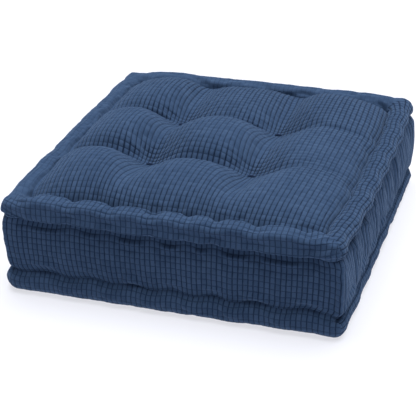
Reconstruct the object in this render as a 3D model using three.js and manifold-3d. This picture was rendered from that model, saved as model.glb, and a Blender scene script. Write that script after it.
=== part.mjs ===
// A square, tufted floor cushion with a rolled edge round its top and its bottom.
//
// Two square fabric panels and four gathered boxing strips hold a block of fibre filling. Along every
// edge, top and bottom, a fabric roll stuffed with wadding is stitched down, and four loops of twine
// pull the two panels together, so that each face swells into nine puffs.
//
// Millimetres, +Z up, +X to the right, the front at -Y. The origin is on the floor, under the middle.

import * as THREE from "three";
import { mergeVertices } from "three/addons/utils/BufferGeometryUtils.js";
import Module from "manifold-3d";

const wasm = await Module();
wasm.setup();

// Driving dimensions.
const SIDE = 508; // width and depth, measured over the rolls
const ROLL_TOP = 152; // height of the top rolls above the floor
const CROWN_TOP = 178; // height of the highest puff
const ROLL_RADIUS = 18;
const ROLL_FACETS = 14; // round a roll; one lies flat on the floor
const CORNER_RADIUS = 28; // of the outline, in plan
const MIN_RADIUS = 6; // of anything inside it
const FABRIC = 2; // thickness of the woven cover
const GAP = 0.5; // clearance between pieces that touch
const TUFTS_X = [-87, 73]; // the tufts lie where these columns
const TUFTS_Y = [-73, 72]; // and these rows cross
const TUFT_TOP = 139; // height of the fabric under a top tie
const TOP_DIMPLE = 26; // how far a dimple spreads beyond its tie
const BOTTOM_DIMPLE = 14;
const VALLEY_WIDTH = 22; // from a valley's line to where its side is steep
const ROW_VALLEY = 14; // depth of the valleys that run left and right through the tufts
const COLUMN_VALLEY = 9; // and of those that run front to back
const TUFT_RISE = 10; // how far the bottom panel is pulled up at a tuft
const EDGE_RISE = 8; // how far it curls up beside the bottom rolls
const EDGE_SHARPNESS = 24; // the higher, the nearer its edge the bottom panel starts to curl up
const SWELL_SHARPNESS = 4; // the higher, the nearer its edge the top panel starts to fall
const BOXING_BULGE = 9; // how far the boxing swells between the rolls
const STITCH_PITCH = 66; // one whole zigzag of the roll stitching
const TWINE_RADIUS = 1.2;
const TIE_LENGTH = 12; // between the two strands of a tie

// Worked out from them.
const HALF = SIDE / 2;
const ROLL_AXIS = HALF - ROLL_RADIUS; // distance of a roll's axis from the middle
const ROLL_RISE = ROLL_RADIUS * Math.cos(Math.PI / ROLL_FACETS); // from its axis to its top facet
const TOP_AXIS_Z = ROLL_TOP - ROLL_RISE;
const BOTTOM_AXIS_Z = ROLL_RISE;
const PANEL_HALF = ROLL_AXIS - ROLL_RADIUS - 2;
const BOXING_BOTTOM = BOTTOM_AXIS_Z + ROLL_RADIUS + GAP;
const BOXING_TOP = TOP_AXIS_Z - ROLL_RADIUS - GAP;
const BOXING_HALF = HALF - 3 - BOXING_BULGE; // at its upper and lower edges
const PANEL_EDGE_Z = TOP_AXIS_Z + 1; // height of the top panel's edge, beside the rolls
const REACH = 2 * SIDE; // longer than anything that it cuts
const SEAT = 10; // half the width of the flat spot under a tie
const SPAN_CELLS = 7; // facets from one seat to the next, or to the panel's edge

const COLOURS = { fabric: 0x3b5078, wadding: 0xe6e3da, filling: 0xefede6, twine: 0x2a3a60 };

function material(colour, roughness = 0.95) {
  return new THREE.MeshStandardMaterial({ color: colour, roughness, metalness: 0 });
}

const MATERIALS = {
  fabric: material(COLOURS.fabric),
  wadding: material(COLOURS.wadding, 1),
  filling: material(COLOURS.filling, 1),
  twine: material(COLOURS.twine, 0.8),
};

const cushion = new THREE.Group();

function add(name, geometry, kind, parent = cushion) {
  const mesh = new THREE.Mesh(geometry, MATERIALS[kind]);
  mesh.name = name;
  parent.add(mesh);
}

// ---- Solids -------------------------------------------------------------------------------------

function solid(geometry) {
  const bare = geometry.clone();
  for (const name of Object.keys(bare.attributes)) {
    if (name !== "position") bare.deleteAttribute(name);
  }
  const merged = mergeVertices(bare, 1e-4);
  const vertProperties = new Float32Array(merged.attributes.position.array);
  const triVerts = new Uint32Array(merged.index.array);
  return new wasm.Manifold(new wasm.Mesh({ numProp: 3, vertProperties, triVerts }));
}

function geometryOf(body) {
  const mesh = body.getMesh();
  const geometry = new THREE.BufferGeometry();
  geometry.setAttribute("position", new THREE.BufferAttribute(mesh.vertProperties, 3));
  geometry.setIndex(new THREE.BufferAttribute(mesh.triVerts, 1));
  geometry.computeVertexNormals();
  return geometry;
}

// Moves every vertex of a geometry to where(x, y, z) puts it.
function displace(geometry, where) {
  const at = geometry.attributes.position;
  for (let i = 0; i < at.count; i++) at.setXYZ(i, ...where(at.getX(i), at.getY(i), at.getZ(i)));
  return geometry;
}

// ---- The two faces ------------------------------------------------------------------------------

// Depth of the dimples at x, y: 1 on the seats of the tufts, and dying away over the given width.
function dimples(x, y, width) {
  let depth = 0;
  for (const tx of TUFTS_X) {
    for (const ty of TUFTS_Y) {
      const away = Math.max(0, Math.hypot(x - tx, y - ty) - SEAT * Math.SQRT2);
      depth = Math.max(depth, Math.exp(-((away / width) ** 2)));
    }
  }
  return depth;
}

// Depth of the valleys through the given rows or columns of tufts, at most 1.
function valleys(t, tufts) {
  return Math.max(...tufts.map((at) => Math.exp(-(((t - at) / VALLEY_WIDTH) ** 2))));
}

// Falls from 1 in the middle to 0 at the panel's edge.
function swell(t) {
  return 1 - Math.min(1, Math.abs(t) / PANEL_HALF) ** SWELL_SHARPNESS;
}

// Height of the top panel's outer face.
function topFace(x, y) {
  const valley = ROW_VALLEY * valleys(y, TUFTS_Y) + COLUMN_VALLEY * valleys(x, TUFTS_X);
  const crown = (CROWN_TOP - PANEL_EDGE_Z - valley) * swell(x) * swell(y);
  return THREE.MathUtils.lerp(PANEL_EDGE_Z + crown, TUFT_TOP, dimples(x, y, TOP_DIMPLE));
}

// Height of the bottom panel's outer face: flat on the floor, pulled up at the tufts and the edge.
function bottomFace(x, y) {
  const edge = Math.max(Math.abs(x), Math.abs(y)) / PANEL_HALF;
  return TUFT_RISE * dimples(x, y, BOTTOM_DIMPLE) + EDGE_RISE * edge ** EDGE_SHARPNESS;
}

// The lines of a panel's grid along one axis: one on each side of every seat, the rest between them.
function gridLines(tufts) {
  const stops = [-PANEL_HALF, ...tufts.flatMap((t) => [t - SEAT, t + SEAT]), PANEL_HALF];
  const lines = [-PANEL_HALF];
  for (let i = 1; i < stops.length; i++) {
    const cells = i % 2 ? SPAN_CELLS : 1;
    for (let k = 1; k <= cells; k++) {
      lines.push(THREE.MathUtils.lerp(stops[i - 1], stops[i], k / cells));
    }
  }
  return lines;
}

const LINES_X = gridLines(TUFTS_X);
const LINES_Y = gridLines(TUFTS_Y);

// Everything under a surface of the given height, as wide as a panel.
function below(height) {
  const cells = LINES_X.length - 1;
  const box = new THREE.BoxGeometry(cells, cells, 1, cells, cells, 1);
  return solid(
    displace(box, (i, j, k) => {
      const x = LINES_X[Math.round(i + cells / 2)];
      const y = LINES_Y[Math.round(j + cells / 2)];
      return [x, y, k < 0 ? -CROWN_TOP : height(x, y)];
    }),
  );
}

// A slab as wide as a panel, whose lower and upper faces are at the heights that low and high give.
function slab(low, high) {
  return below(high).subtract(below(low));
}

// The strands of the tufting twine, as rods of the given radius between two heights.
function strands(radius, from, to) {
  const rods = [];
  for (const tx of TUFTS_X) {
    for (const ty of TUFTS_Y) {
      for (const side of [-1, 1]) {
        const rod = new THREE.CylinderGeometry(radius, radius, to - from, 8);
        rod.rotateX(Math.PI / 2).translate(tx + (side * TIE_LENGTH) / 2, ty, (from + to) / 2);
        rods.push(solid(rod));
      }
    }
  }
  return rods;
}

const needleHoles = strands(TWINE_RADIUS + GAP, -10, CROWN_TOP + 10);

function pierced(body) {
  return needleHoles.reduce((left, hole) => left.subtract(hole), body);
}

function addPanels() {
  const under = (x, y) => topFace(x, y) - FABRIC;
  add("top_panel", geometryOf(pierced(slab(under, topFace))), "fabric");
  const over = (x, y) => bottomFace(x, y) + FABRIC;
  add("bottom_panel", geometryOf(pierced(slab(bottomFace, over))), "fabric");
}

// ---- The sides ----------------------------------------------------------------------------------

function roundedSquare(half, radius) {
  const c = half - radius;
  const shape = new THREE.Shape();
  shape.absarc(c, c, radius, 0, Math.PI / 2);
  shape.absarc(-c, c, radius, Math.PI / 2, Math.PI);
  shape.absarc(-c, -c, radius, Math.PI, 1.5 * Math.PI);
  shape.absarc(c, -c, radius, 1.5 * Math.PI, 2 * Math.PI);
  return shape;
}

// An upright block on a rounded square, whose walls swell outwards by bulge halfway up.
function block(half, low, high, bulge = 0, steps = 1) {
  const shape = roundedSquare(half, Math.max(MIN_RADIUS, CORNER_RADIUS - (HALF - half)));
  const flat = new THREE.ExtrudeGeometry(shape, {
    depth: 1,
    steps,
    bevelEnabled: false,
    curveSegments: 4,
  });
  return solid(
    displace(flat, (x, y, z) => {
      const grow = 1 + (bulge * 4 * z * (1 - z)) / half;
      return [x * grow, y * grow, low + z * (high - low)];
    }),
  );
}

// The quarter of the plan that belongs to the front side, cut back by half a gap at both mitres.
function frontQuarter() {
  const shape = new THREE.Shape();
  shape.moveTo(0, -GAP);
  shape.lineTo(REACH, -REACH - GAP);
  shape.lineTo(-REACH, -REACH - GAP);
  const wedge = new THREE.ExtrudeGeometry(shape, { depth: REACH, bevelEnabled: false });
  return solid(wedge.translate(0, 0, -REACH / 2));
}

const FRONT = frontQuarter();
const SIDES = ["front", "right", "back", "left"]; // anticlockwise, a quarter turn apart

function quarterTurn(index) {
  const group = new THREE.Group();
  group.rotation.z = (index * Math.PI) / 2;
  cushion.add(group);
  return group;
}

const TURNS = SIDES.map((_, index) => quarterTurn(index));

function addOnEachSide(prefix, geometry, kind) {
  SIDES.forEach((side, index) => add(`${prefix}_${side}`, geometry, kind, TURNS[index]));
}

function addBoxing() {
  const outside = block(BOXING_HALF, BOXING_BOTTOM, BOXING_TOP, BOXING_BULGE, 4);
  const inside = block(BOXING_HALF - FABRIC, BOXING_BOTTOM, BOXING_TOP, BOXING_BULGE, 4);
  const shaft = block(BOXING_HALF - FABRIC, BOXING_BOTTOM - 5, BOXING_TOP + 5);
  const strip = outside.subtract(inside.add(shaft)).intersect(FRONT);
  addOnEachSide("boxing", geometryOf(strip), "fabric");
}

// ---- The rolls ----------------------------------------------------------------------------------

// A bar of round section along the front edge, rounded off in plan where the cushion's corner is.
function roll(radius, axisZ, sides) {
  const bar = new THREE.CylinderGeometry(radius, radius, REACH, sides);
  bar.rotateY(Math.PI / sides).rotateZ(Math.PI / 2).translate(0, -ROLL_AXIS, axisZ);
  const outline = block(ROLL_AXIS + radius, axisZ - REACH / 2, axisZ + REACH / 2);
  return solid(bar).intersect(outline);
}

function addRolls(level, axisZ) {
  const inside = roll(ROLL_RADIUS - FABRIC, axisZ, ROLL_FACETS);
  const skin = roll(ROLL_RADIUS, axisZ, ROLL_FACETS).subtract(inside);
  addOnEachSide(`${level}_roll`, geometryOf(skin.intersect(FRONT)), "fabric");
  const stuffing = roll(ROLL_RADIUS - FABRIC - GAP, axisZ, 10).intersect(FRONT);
  addOnEachSide(`${level}_roll_wadding`, geometryOf(stuffing), "wadding");
}

// The thread that binds a roll: it zigzags under the roll, from the groove beside the panel to the
// groove beside the boxing and back.
class RollStitch extends THREE.Curve {
  constructor(axisZ, up) {
    super();
    Object.assign(this, { axisZ, up });
  }

  getPoint(t, target = new THREE.Vector3()) {
    const length = 2 * (PANEL_HALF - CORNER_RADIUS);
    const turns = Math.round(length / STITCH_PITCH);
    const angle = THREE.MathUtils.degToRad(45 - 25 * Math.cos(2 * Math.PI * turns * t));
    const reach = ROLL_RADIUS + TWINE_RADIUS + GAP;
    return target.set(
      (t - 0.5) * length,
      -ROLL_AXIS + reach * Math.cos(angle),
      this.axisZ - this.up * reach * Math.sin(angle),
    );
  }
}

function addStitching(level, axisZ, up) {
  const section = new THREE.Shape();
  section.absarc(0, 0, TWINE_RADIUS, 0, 2 * Math.PI);
  const thread = new THREE.ExtrudeGeometry(section, {
    extrudePath: new RollStitch(axisZ, up),
    steps: 36,
    curveSegments: 3,
    bevelEnabled: false,
  });
  addOnEachSide(`${level}_roll_stitching`, thread, "twine");
}

// ---- The filling and the tufts ------------------------------------------------------------------

function addFilling() {
  const low = (x, y) => bottomFace(x, y) + FABRIC + GAP;
  const high = (x, y) => topFace(x, y) - FABRIC - GAP;
  const middle = block(
    BOXING_HALF - FABRIC - GAP,
    BOXING_BOTTOM + FABRIC,
    BOXING_TOP - FABRIC,
    BOXING_BULGE,
    4,
  );
  const core = block(PANEL_HALF - FABRIC, 0, CROWN_TOP).intersect(slab(low, high));
  const filling = core.add(middle);
  add("fibre_filling", geometryOf(pierced(filling)), "filling");
}

// One loop of twine: a bar in the top dimple, two strands through the cushion, a bar underneath.
function tuftLoop() {
  const topBarZ = TUFT_TOP + TWINE_RADIUS + 2 * GAP;
  const bottomBarZ = TUFT_RISE - TWINE_RADIUS - 2 * GAP;
  const bars = [topBarZ, bottomBarZ].map((z) => {
    const bar = new THREE.CylinderGeometry(TWINE_RADIUS, TWINE_RADIUS, TIE_LENGTH + 3, 8);
    return solid(bar.rotateZ(Math.PI / 2).translate(0, 0, z));
  });
  const height = topBarZ - bottomBarZ;
  const legs = [-1, 1].map((side) => {
    const leg = new THREE.CylinderGeometry(TWINE_RADIUS, TWINE_RADIUS, height, 8);
    leg.rotateX(Math.PI / 2);
    return solid(leg.translate((side * TIE_LENGTH) / 2, 0, (topBarZ + bottomBarZ) / 2));
  });
  return geometryOf([...bars, ...legs].reduce((sum, piece) => sum.add(piece)));
}

function addTufts() {
  const loop = tuftLoop();
  TUFTS_Y.forEach((y, row) => {
    TUFTS_X.forEach((x, column) => {
      const place = new THREE.Group();
      place.position.set(x, y, 0);
      cushion.add(place);
      const name = `tuft_${["front", "back"][row]}_${["left", "right"][column]}`;
      add(name, loop, "twine", place);
    });
  });
}

addPanels();
addBoxing();
addRolls("top", TOP_AXIS_Z);
addRolls("bottom", BOTTOM_AXIS_Z);
addStitching("top", TOP_AXIS_Z, 1);
addStitching("bottom", BOTTOM_AXIS_Z, -1);
addFilling();
addTufts();

export default cushion;
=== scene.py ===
"""A square floor cushion. Its cover is simulated as cloth that is stitched down in a roll round each
face and tufted in four places, and is then given its waffle weave.

The cover's own code works in millimetres; Blender's objects are in metres.
"""

import math

import bpy
import numpy as np
from mathutils import Matrix, Vector


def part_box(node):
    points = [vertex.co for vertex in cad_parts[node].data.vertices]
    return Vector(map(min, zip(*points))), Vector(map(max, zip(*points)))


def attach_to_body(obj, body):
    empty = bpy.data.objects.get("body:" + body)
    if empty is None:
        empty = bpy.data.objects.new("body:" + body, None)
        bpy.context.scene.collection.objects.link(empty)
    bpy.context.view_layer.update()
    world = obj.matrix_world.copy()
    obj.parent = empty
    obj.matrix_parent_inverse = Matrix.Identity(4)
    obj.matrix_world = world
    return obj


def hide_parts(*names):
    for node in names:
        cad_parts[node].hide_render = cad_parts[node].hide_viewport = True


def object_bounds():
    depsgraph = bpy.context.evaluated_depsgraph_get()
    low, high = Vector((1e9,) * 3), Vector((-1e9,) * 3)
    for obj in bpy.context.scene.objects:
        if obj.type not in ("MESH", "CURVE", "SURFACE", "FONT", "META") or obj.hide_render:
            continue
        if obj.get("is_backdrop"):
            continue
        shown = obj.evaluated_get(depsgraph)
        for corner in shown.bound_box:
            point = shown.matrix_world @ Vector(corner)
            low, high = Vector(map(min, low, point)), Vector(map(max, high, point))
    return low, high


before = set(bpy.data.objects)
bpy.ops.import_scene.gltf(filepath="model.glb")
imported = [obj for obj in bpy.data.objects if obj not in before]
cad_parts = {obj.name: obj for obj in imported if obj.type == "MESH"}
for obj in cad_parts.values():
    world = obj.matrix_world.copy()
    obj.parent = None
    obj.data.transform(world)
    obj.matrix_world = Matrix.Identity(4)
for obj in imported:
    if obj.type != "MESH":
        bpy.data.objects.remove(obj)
cad_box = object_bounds()

MM = 0.001
SIDES = ("front", "right", "back", "left")  # anticlockwise, a quarter turn apart


def by_side(*values):
    """One value for each side, in the order of SIDES."""
    return dict(zip(SIDES, values))


# ---- Sizes and places, read from the frame ----


def box_mm(node):
    low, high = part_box(node)
    return np.array(low) / MM, np.array(high) / MM


TOP_ROLL_BOX = box_mm("top_roll_front")
BOTTOM_ROLL_BOX = box_mm("bottom_roll_front")
PANEL_BOX = box_mm("top_panel")
TUFT_NAMES = [f"tuft_{row}_{column}" for row in ("front", "back") for column in ("left", "right")]
TUFTS = {name: box_mm(name) for name in TUFT_NAMES}

OUTSIDE = -TOP_ROLL_BOX[0][1]  # from the middle to the outside of the rolls
ROLL_RADIUS = (TOP_ROLL_BOX[1][1] - TOP_ROLL_BOX[0][1]) / 2
ROLL_TOP = TOP_ROLL_BOX[1][2]
BOTTOM_AXIS = (BOTTOM_ROLL_BOX[0][2] + BOTTOM_ROLL_BOX[1][2]) / 2
PANEL_HALF = PANEL_BOX[1][0] + 3  # to the groove beside the roll
TUFT_PLAN = [(low + high)[:2] / 2 for low, high in TUFTS.values()]
TUFT_X = sorted({round(float(p[0]), 1) for p in TUFT_PLAN})
TUFT_Y = sorted({round(float(p[1]), 1) for p in TUFT_PLAN})
TOP_TIE = min(high[2] for _, high in TUFTS.values())
BOTTOM_TIE = max(low[2] for low, _ in TUFTS.values())

# ---- How the cover is sewn ----

# A gain is added towards the right end of a side, seen from outside.

CORNER_RADIUS = 22.0  # of the outline in plan
GROOVE_CORNER = 8.0  # of the panel's corners
CORNER_START = 190.0  # where a side's section starts to turn into the corner's
CORNER_LENGTH = 26.0  # over which it does
SAG = 2.8  # of the back corners
SAG_REACH = 110.0
PANEL_SPARE = 0.012  # spare cloth in the panels

# Where stitches pull each side's top roll in, measured along the side from its middle.
STITCHES = by_side(
    (-205, -140, -82, -21, 30, 72, 128, 190),
    (-190, -132, -75, -20, 36, 92, 145, 196),
    (-158, -30, 48, 165),
    (-200, -145, -90, -30, 25, 80, 140, 200),
)
STITCH_WIDTH = by_side(13, 22, 15, 17)  # how far a stitch's pull spreads

# The top rolls. Angles go round a roll's section from straight out and upwards.
GROOVE_ANGLE = by_side(166, 156, 168, 147)  # where the panel meets the roll
STITCH_ANGLE = by_side(8, 2, 6, 5)  # added at a stitch
SEAM_ANGLE = by_side(-86, -66, -68, -68)  # where the boxing meets it
TURN_UP = by_side(0, 8, 4, 4)  # added at a stitch
CORNER_ANGLES = (182, -39)  # both at the corners
ROUNDNESS = by_side(0.66, 0.95, 0.95, 0.95)  # 1 for a round section, less for a boxy one
CORNER_ROUNDNESS = 0.9
HEIGHT = by_side(1.3, 1, 1, 1)  # of its upper half, in radii
LOWER_HALF = 0.8  # height of its lower half, in radii
SCALLOP = by_side(0.05, 0.1, 0.1, 0.1)  # and how much of that a stitch takes
FULLNESS = by_side(1, 1, 1.06, 1)  # its radius, as a share of the frame's
PINCH = by_side(0.27, 0.07, 0.07, 0.05)  # share of the radius that a stitch takes
STITCH_SINK = 16.0  # how far the roll's axis sinks for a whole pinch
PULL = by_side(2, 4.5, 1, 3)  # of the roll, inwards, at a stitch
POCKET = by_side(1, 9, 4, 4)  # of the seam with the boxing, inwards, at a stitch
BOW = by_side(0, 7, 0, 0)  # of the roll's middle, outwards
BOW_LENGTH = 120.0  # from the corner to where the roll is bowed in full
LIFT = by_side(0, 0, 2.8, 1)  # of the roll's middle over its ends
LIFT_GAIN = by_side(0, 0, 3.6, 0)
LIFT_LENGTH = 50.0
LEAN = 1.2  # of the right side's top, outwards

# The boxing.
BULGE = by_side(1, 8, 3, 2)  # past the rolls
BULGE_GAIN = by_side(0, -1, 0, 0)
FLATNESS = 0.32  # the nearer to 0, the nearer its seams the boxing is at its full bulge
RECESS = by_side(0.16, 0, 0.1, 0.1)  # added to that, mostly at the lower seam
CORNER_TUCK = 3.5  # under the corners of the rolls
FOLDS = by_side(0.3, 3.4, 1.6, 1.6)  # height of its upright folds
FOLD_PITCH = 27.0

# The bottom rolls.
BOTTOM_ANGLES = (70, -205)  # where the boxing and the bottom panel meet the roll
BOTTOM_INSET = by_side(-3, -3.2, 0, -5.5)  # from the outside of the top rolls
INSET_GAIN = by_side(0, 2, 0, 0)
SEAM_RISE = by_side(3, 0, 0, 0)  # of the seam with the boxing
SEAM_FALL = by_side(-2.5, 8, 0, 0)  # of the same, rightwards

# Spare length along each side, in the top roll, the boxing and the bottom roll, and how far the
# simulation may move a point of each.
GATHER = by_side(
    (0.008, 0.006, 0.005), (0.003, 0.015, 0.005), (0.008, 0.02, 0.005), (0.004, 0.02, 0.005)
)
REACH = by_side((1.5, 2.5, 1), (0.6, 2.5, 1), (1, 3, 1), (1, 3, 1))
PANEL_REACH = 2.5
LEAST_HEIGHT = 0.3  # of the ring's points before the simulation

# Heights of the nine puffs of the top, from left to right, were they not drawn in at the edges.
CROWNS = {"front": (189, 178, 175), "middle": (189, 182, 173), "back": (180, 168, 177)}
ROW_FLOOR = 151.5  # bottom of the valleys that run left and right between the tufts
COLUMN_VALLEY = (24.0, 27.0)  # depth and width of those that run front to back
DIMPLE = (34.0, 39.0)  # reach of a tuft's dimple, left to right and front to back
BOTTOM_DIMPLE = (26.0, 22.0)

# ---- The grids of the simulated cover ----

CELLS = 72  # along each side
ROLL_ROWS = 14
BOXING_ROWS = 12
SEAM_ROW = ROLL_ROWS  # under the top roll
LOWER_SEAM_ROW = ROLL_ROWS + BOXING_ROWS  # over the bottom roll
RING_ROWS = 2 * ROLL_ROWS + BOXING_ROWS
RING = 4 * CELLS
PART_ROWS = {
    "top_roll": (0, SEAM_ROW),
    "boxing": (SEAM_ROW, LOWER_SEAM_ROW),
    "bottom_roll": (LOWER_SEAM_ROW, RING_ROWS),
}


def border(grid):
    """A square grid's border, anticlockwise from its front left corner."""
    return np.concatenate([grid[:-1, 0], grid[-1, :-1], grid[:0:-1, -1], grid[0, :0:-1]])


def number_points():
    """Point numbers of the top panel, the bottom panel and the ring between them."""
    panel = (CELLS + 1) ** 2
    top = np.arange(panel).reshape(CELLS + 1, CELLS + 1)
    bottom = top + panel
    between = 2 * panel + np.arange((RING_ROWS - 1) * RING).reshape(RING_ROWS - 1, RING)
    ring = np.vstack([border(top), between, border(bottom)])
    return top, bottom, ring


TOP, BOTTOM, RING_POINTS = number_points()
POINT_COUNT = int(RING_POINTS.max()) + 1


def side_columns(index, closing=1):
    """The ring's columns of one side, from mitre to mitre."""
    return (index * CELLS + np.arange(CELLS + closing)) % RING


# ---- The shape that the simulation starts from ----


def smooth(t):
    t = np.clip(t, 0, 1)
    return t * t * (3 - 2 * t)


def bumps(t, places, width):
    """1 at each place, and dying away over the width."""
    return np.max([np.exp(-(((t - p) / width) ** 2)) for p in places], axis=0)


def wave(t, length, phase):
    return np.sin(2 * np.pi * t / length + phase)


def half_path(out, radius):
    """Length of the outline from the middle of a side to the mitre."""
    return out - radius + radius * np.pi / 4


GROOVE_PATH = half_path(PANEL_HALF, GROOVE_CORNER)


def in_plan(along, out):
    """Place on the front side at distance out of the column that leaves the panel at along."""
    radius = np.maximum(GROOVE_CORNER, CORNER_RADIUS - (OUTSIDE - out))
    straight = GROOVE_PATH * 0.4
    spread = np.clip((np.abs(along) - straight) / (GROOVE_PATH - straight), 0, 1) ** 2
    path = np.abs(along) + (half_path(out, radius) - GROOVE_PATH) * spread
    turn = np.clip((path - (out - radius)) / radius, 0, np.pi / 4)
    x = np.where(path < out - radius, path, out - radius + radius * np.sin(turn))
    y = -(out - radius + radius * np.cos(turn))
    return np.sign(along) * x, y, np.sign(along) * path


def turned(x, y, index):
    """Turns a place on the front side to the side of the given index."""
    c, s = ((1, 0), (0, 1), (-1, 0), (0, -1))[index]
    return c * x - s * y, s * x + c * y


def near_corner(along, length=CORNER_LENGTH):
    """0 along a side, and 1 at its ends."""
    return smooth((np.abs(along) - CORNER_START) / length)


def rightwards(along):
    return smooth((along + 20) / 200)


def top_roll(share, along, side, index):
    """Distance out and height of a top roll, a share of the way over it from panel to boxing."""
    corner = near_corner(along)
    stitch = bumps(along, STITCHES[side], STITCH_WIDTH[side]) * (1 - corner)
    swell = 0.02 * wave(along, 97, index) + 0.01 * wave(along, 41, 2 * index)
    radius = ROLL_RADIUS * (FULLNESS[side] + swell - PINCH[side] * stitch)
    from_mitre = GROOVE_PATH - np.abs(along)
    bow = BOW[side] * smooth(from_mitre / BOW_LENGTH)
    axis_out = OUTSIDE + bow - radius - PULL[side] * stitch
    lift = (LIFT[side] + LIFT_GAIN[side] * rightwards(along)) * smooth(from_mitre / LIFT_LENGTH)
    sink = STITCH_SINK * PINCH[side] * stitch
    axis_z = ROLL_TOP - radius + lift - sink + 0.7 * wave(along, 171, index)

    start = GROOVE_ANGLE[side] + STITCH_ANGLE[side] * stitch
    start = np.radians(start * (1 - corner) + CORNER_ANGLES[0] * corner)
    end = SEAM_ANGLE[side] * (1 - corner) + CORNER_ANGLES[1] * corner
    end = np.radians(end + TURN_UP[side] * stitch)
    angle = start + (end - start) * share
    roundness = ROUNDNESS[side] + (CORNER_ROUNDNESS - ROUNDNESS[side]) * corner
    across = np.sign(np.cos(angle)) * np.abs(np.cos(angle)) ** roundness
    upwards = np.sign(np.sin(angle)) * np.abs(np.sin(angle)) ** roundness
    upper_half = HEIGHT[side] + (1 - HEIGHT[side]) * corner
    lower_half = LOWER_HALF - SCALLOP[side] * stitch
    upwards = upwards * np.where(upwards < 0, lower_half, upper_half)
    tuck = POCKET[side] * stitch * smooth((share - 0.8) / 0.2) + bow * smooth((share - 0.7) / 0.3)
    return axis_out + radius * across - tuck, axis_z + radius * upwards


def bottom_roll(share, along, side, index):
    """The same of a bottom roll, from boxing to panel."""
    between_stitches = bumps(along, [p + 18 for p in STITCHES[side]], 20)
    radius = ROLL_RADIUS * (1 - 0.07 * between_stitches)
    first, last = np.radians(BOTTOM_ANGLES)
    angle = first + (last - first) * share
    rise = 3 * wave(along, 61, 1 + index) + SEAM_RISE[side] - SEAM_FALL[side] * rightwards(along)
    rise = rise * (1 - share) ** 3
    inset = BOTTOM_INSET[side] + INSET_GAIN[side] * rightwards(along)
    out = OUTSIDE - inset - radius + radius * np.cos(angle)
    return out, BOTTOM_AXIS + radius * np.sin(angle) + rise


def boxing(share, along, side, index):
    """The same of the boxing, from its upper seam to its lower one."""
    corner = near_corner(along)
    upper, lower = top_roll(1, along, side, index), bottom_roll(0, along, side, index)
    widest = OUTSIDE + BULGE[side] + BULGE_GAIN[side] * rightwards(along) - CORNER_TUCK * corner
    flatness = FLATNESS + RECESS[side] * (0.45 + 0.55 * share) * (1 - corner)
    flatness = flatness + 0.15 * corner * (1 - 2 * share)
    bulge = (widest - lower[0]) * np.sin(np.pi * share) ** flatness
    out = upper[0] + (lower[0] - upper[0]) * share + bulge
    return out, upper[1] + (lower[1] - upper[1]) * share


def section(row, *place):
    """Distance out and height of a row of the ring."""
    if row <= SEAM_ROW:
        return top_roll(row / ROLL_ROWS, *place)
    if row > LOWER_SEAM_ROW:
        return bottom_roll((row - LOWER_SEAM_ROW) / ROLL_ROWS, *place)
    return boxing((row - SEAM_ROW) / BOXING_ROWS, *place)


def start_ring():
    """Start places of the ring's points, and how far each is along its side's outline."""
    along = np.linspace(-1, 1, CELLS, endpoint=False) * GROOVE_PATH
    places = np.zeros((RING_ROWS + 1, RING, 3))
    paths = np.zeros((RING_ROWS + 1, RING))
    for index, side in enumerate(SIDES):
        columns = side_columns(index, 0)
        for row in range(RING_ROWS + 1):
            out, z = section(row, along, side, index)
            x, y, paths[row, columns] = in_plan(along, out)
            x, y = turned(x, y, index)
            x = x + LEAN * z / ROLL_TOP * smooth(x / OUTSIDE)
            from_corner = np.hypot(np.abs(x) - OUTSIDE, y - OUTSIDE)
            z = z - SAG * z / ROLL_TOP * np.exp(-((from_corner / SAG_REACH) ** 2))
            places[row, columns] = np.stack([x, y, np.maximum(z, LEAST_HEIGHT)], axis=-1)
    return places, paths


def loop_sides(loop):
    """The sides of a border loop, in the order of SIDES, each rightwards or backwards."""
    n = len(loop) // 4
    ends = np.vstack([loop, loop[:1]])
    back, left = ends[2 * n : 3 * n + 1], ends[3 * n :]
    return ends[: n + 1], ends[n : 2 * n + 1], back[::-1], left[::-1]


def span(loop):
    """A grid stretched evenly across a border loop."""
    front, right, back, left = loop_sides(loop)
    u = np.linspace(0, 1, CELLS + 1)[:, None, None]
    v = np.linspace(0, 1, CELLS + 1)[None, :, None]
    ruled = (1 - v) * front[:, None] + v * back[:, None] + (1 - u) * left[None] + u * right[None]
    corners = (1 - v) * ((1 - u) * front[0] + u * front[-1]) + v * ((1 - u) * back[0] + u * back[-1])
    return ruled - corners


def eased(loop):
    """A border loop without its short waves. Its corners stay in place."""
    sides = np.vstack([loop, loop[:1]])
    for first in range(0, RING, CELLS):
        side = sides[first : first + CELLS + 1]
        for _ in range(60):
            side[1:-1] = (side[:-2] + 2 * side[1:-1] + side[2:]) / 4
    return sides[:-1]


def stretched(loop):
    """A grid across a border loop, in which the border's short waves soon die away."""
    number = np.arange(CELLS + 1)
    from_edge = np.minimum(number, CELLS - number)
    near = np.clip(1 - np.minimum(from_edge[:, None], from_edge[None]) / 2, 0, 1)
    even = span(eased(loop))
    return even + (span(loop) - even) * near[..., None]


def edge_fall(t, sharpness, power=0.75):
    """1 over a panel's middle and 0 at its borders; the sharper, the nearer to them it drops."""
    return np.clip(1 - np.abs(t / PANEL_HALF) ** sharpness, 1e-9, 1) ** power


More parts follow.
